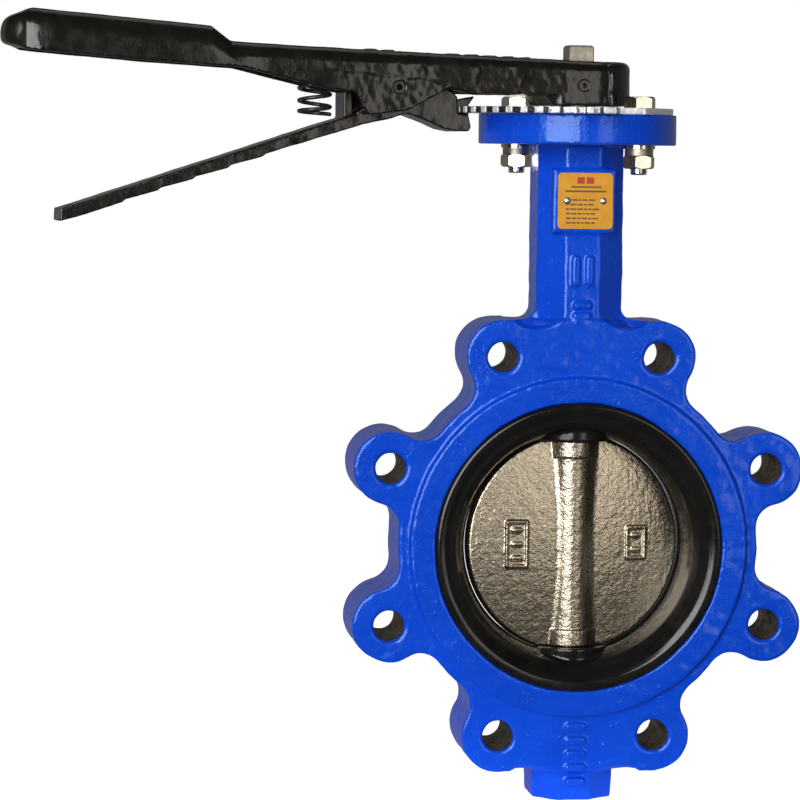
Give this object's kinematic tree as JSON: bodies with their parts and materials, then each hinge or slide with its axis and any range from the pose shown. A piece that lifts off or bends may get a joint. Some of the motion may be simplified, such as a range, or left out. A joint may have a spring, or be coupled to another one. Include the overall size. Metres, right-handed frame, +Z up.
{
  "type": "butterfly valve",
  "caption": "Lug-type butterfly valve with a rubber-seated disc and a squeeze-lock hand lever that turns it a quarter turn.",
  "frame": {"origin": "centre of the bore, where the stem axis crosses the pipe axis", "axes": "Y along the pipe, +Z up the stem, the lever points towards -X at rest"},
  "size_m": [0.3738, 0.105, 0.3625],
  "materials": {
    "blue_paint": "glossy thick blue enamel over sand-cast iron",
    "seat_rubber": "smooth moulded black rubber",
    "bushing_plastic": "white moulded bearing plastic",
    "seal_rubber": "black rubber",
    "nickel_plated_iron": "nickel-plated cast surface with a fine grain",
    "stem_steel": "turned stainless steel",
    "zinc_plate": "bright zinc plate",
    "fastener_steel": "plated steel",
    "label_yellow": "printed yellow sheet metal",
    "rivet_aluminium": "bright aluminium",
    "black_paint": "glossy black enamel over cast iron",
    "black_steel": "blackened steel",
    "spring_steel": "black coated spring wire"
  },
  "bodies": {
    "valve_body": {"body": "blue_paint", "seat": "seat_rubber", "upper_bushing": "bushing_plastic", "stem_gasket": "seal_rubber", "middle_bushing": "bushing_plastic", "upper_stem_o_ring": "seal_rubber", "lower_bushing": "bushing_plastic", "lower_stem_o_ring": "seal_rubber", "thrust_washer": "fastener_steel", "notch_plate": "zinc_plate", "plate_bolts": "fastener_steel", "flat_washers": "fastener_steel", "spring_washers": "fastener_steel", "hex_nuts": "fastener_steel", "label_plate": "label_yellow", "label_rivets": "rivet_aluminium"},
    "rotor": {"disc": "nickel_plated_iron", "upper_stem": "stem_steel", "lower_stem": "stem_steel", "stem_retaining_ring": "fastener_steel", "lever": "black_paint", "lever_set_screw": "black_steel", "pivot_pin": "black_steel", "trigger_spring": "spring_steel"},
    "trigger": {"trigger": "black_paint"}
  },
  "joints": [
    {"name": "lever_turn", "type": "hinge", "parent": "valve_body", "child": "rotor", "pos_m": [0, 0, 0.2], "axis": [0, 0, 1], "range_deg": [-7.5, 82.5]},
    {"name": "trigger_squeeze", "type": "hinge", "parent": "rotor", "child": "trigger", "pos_m": [-0.08883, -0.0117, 0.211], "axis": [-0.1305, 0.9914, 0], "range_deg": [0, 13], "stiffness_Nm_per_rad": 2, "springref_deg": -14.32, "deforming": ["trigger_spring"]}
  ]
}
